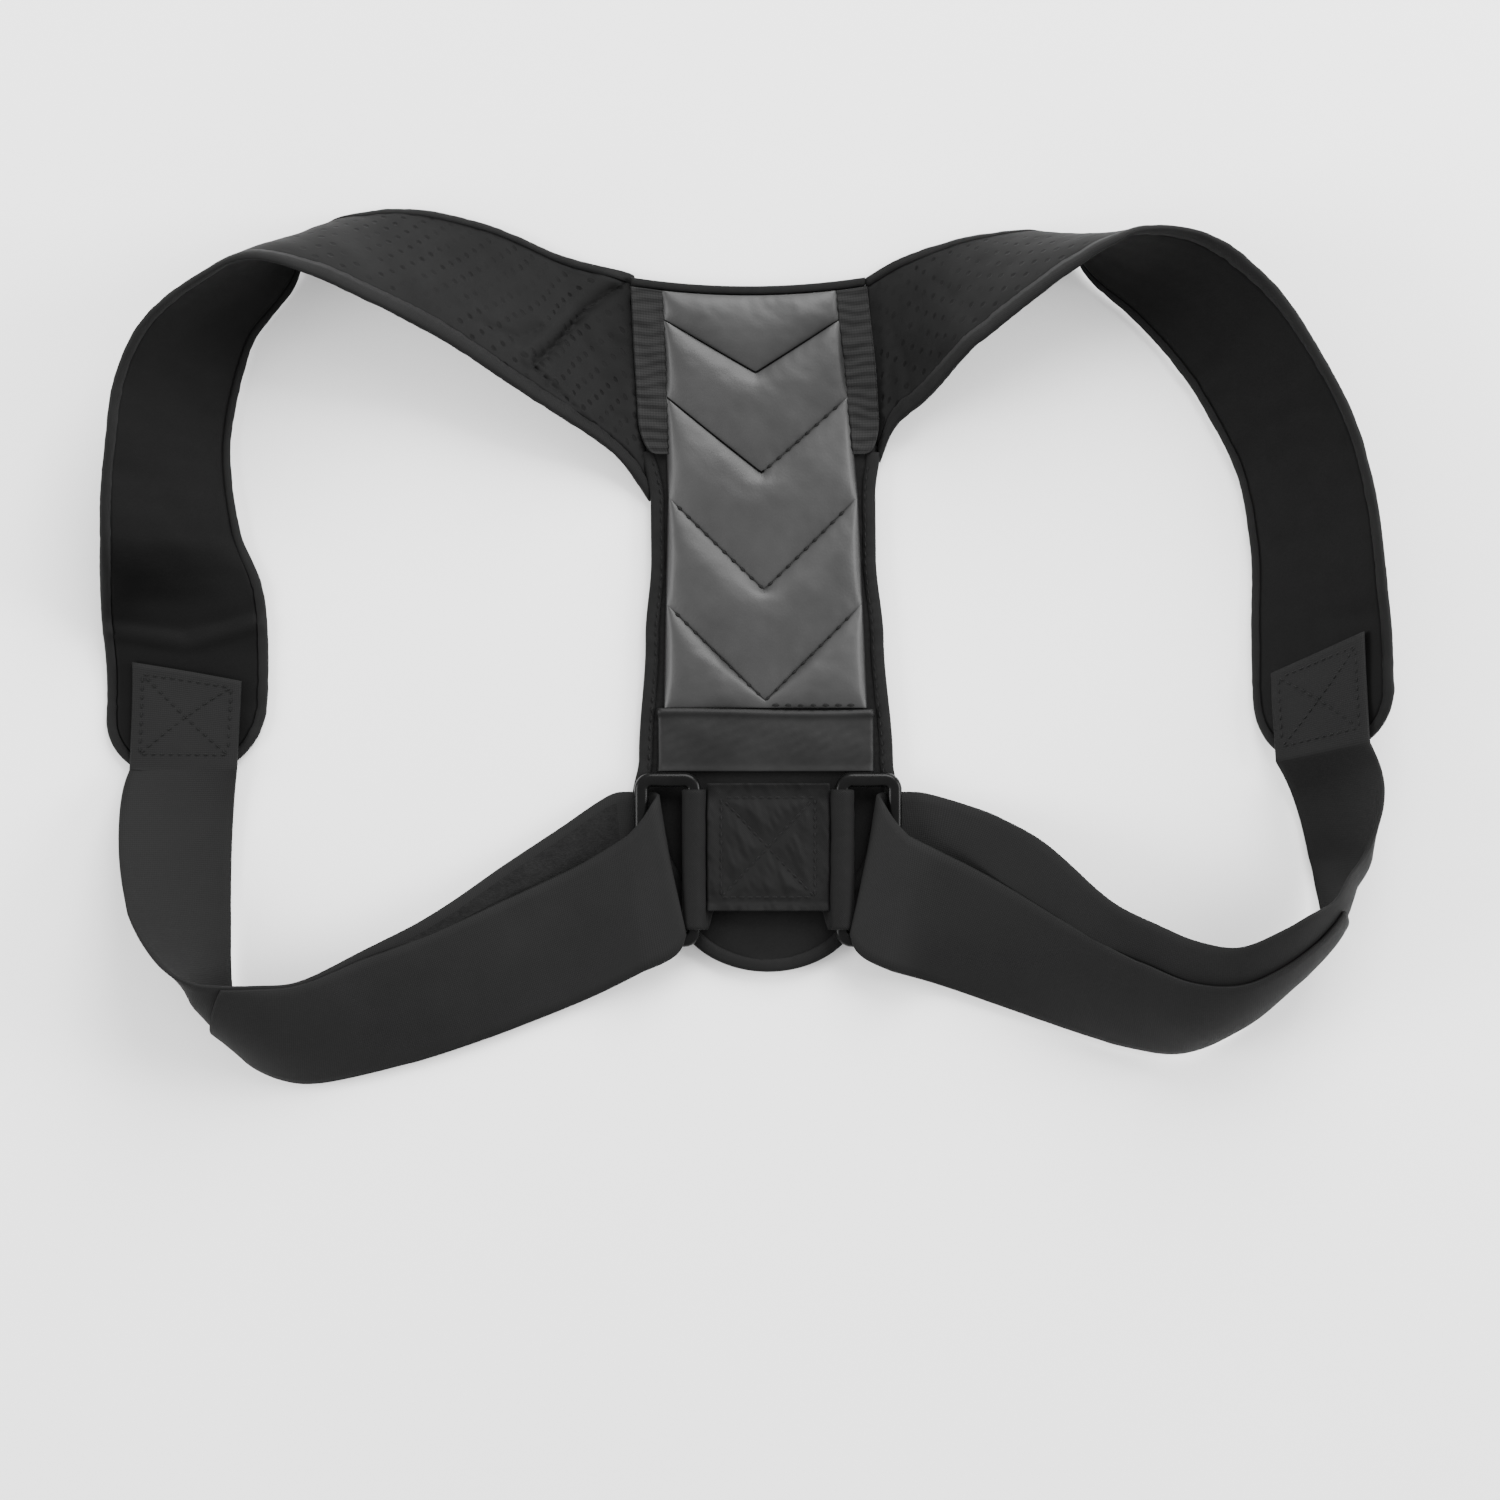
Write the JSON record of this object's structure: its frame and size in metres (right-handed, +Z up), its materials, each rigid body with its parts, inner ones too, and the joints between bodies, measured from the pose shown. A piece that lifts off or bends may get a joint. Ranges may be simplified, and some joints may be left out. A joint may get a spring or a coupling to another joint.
{
  "type": "posture corrector",
  "caption": "Back and shoulder brace lying flat: a quilted spine panel with padded shoulder loops, elastic straps and rectangular rings that the straps fold back through.",
  "frame": {"origin": "middle of the bounding box in plan, on the surface that the brace lies on", "axes": "+X across the spine panel towards the loop on the picture's right, +Y up the spine panel towards its top edge, +Z up, out of the panel's quilted face"},
  "size_m": [0.515, 0.3506, 0.0644],
  "materials": {
    "quilted_leather": "satin",
    "band_leather": "matte",
    "panel_fabric": "matte",
    "ribbed_tape": "matte",
    "pad_fabric": "matte",
    "binding_tape": "matte",
    "elastic_webbing": "matte",
    "webbing": "matte",
    "ring_plastic": "gloss"
  },
  "bodies": {
    "root": {"back_pad": "panel_fabric", "spine_cover": "quilted_leather", "pocket_band": "band_leather", "top_binding": "binding_tape", "lower_binding": "binding_tape", "ring_tab": "webbing", "left_side_tape": "ribbed_tape", "left_shoulder_pad": "pad_fabric", "left_pad_binding": "binding_tape", "left_elastic_strap": "elastic_webbing", "left_ring": "ring_plastic", "left_ring_loop": "webbing", "right_side_tape": "ribbed_tape", "right_shoulder_pad": "pad_fabric", "right_pad_binding": "binding_tape", "right_elastic_strap": "elastic_webbing", "right_ring": "ring_plastic", "right_ring_loop": "webbing"}
  },
  "joints": []
}
